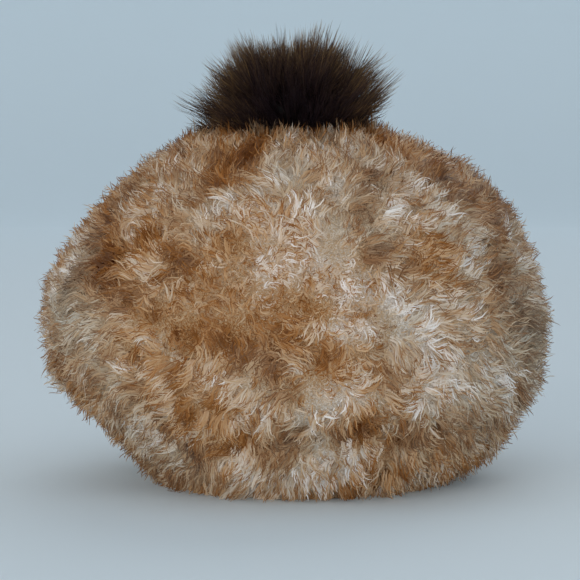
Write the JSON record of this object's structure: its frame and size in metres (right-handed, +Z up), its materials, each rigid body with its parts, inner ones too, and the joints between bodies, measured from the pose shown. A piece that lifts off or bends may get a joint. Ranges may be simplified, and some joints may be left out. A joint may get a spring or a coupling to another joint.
{
  "type": "fur beanie with a pompom",
  "caption": "Full, round beanie of curly lamb fur with a head opening below and a long-haired fur pompom on the crown.",
  "frame": {"origin": "the middle of the hat's box, on the surface that its hem stands on", "axes": "+Z up towards the pompom, +Y towards the wearer's front, +X towards the wearer's right"},
  "size_m": [0.3084, 0.3252, 0.2713],
  "materials": {
    "lamb_fur": "curly lamb fur, honey with cream and rust-brown patches",
    "leather": "matt suede, the bare inner side of the hide",
    "pompom_fur": "long straight dark brown fur with lighter tips",
    "thread": "waxed thread, wound"
  },
  "bodies": {
    "root": {"crown_fur": "lamb_fur", "crown_leather": "leather", "side_band_fur": "lamb_fur", "side_band_leather": "leather", "hem_band_fur": "lamb_fur", "hem_band_leather": "leather", "pompom": "pompom_fur", "pompom_tie": "thread"}
  },
  "joints": []
}
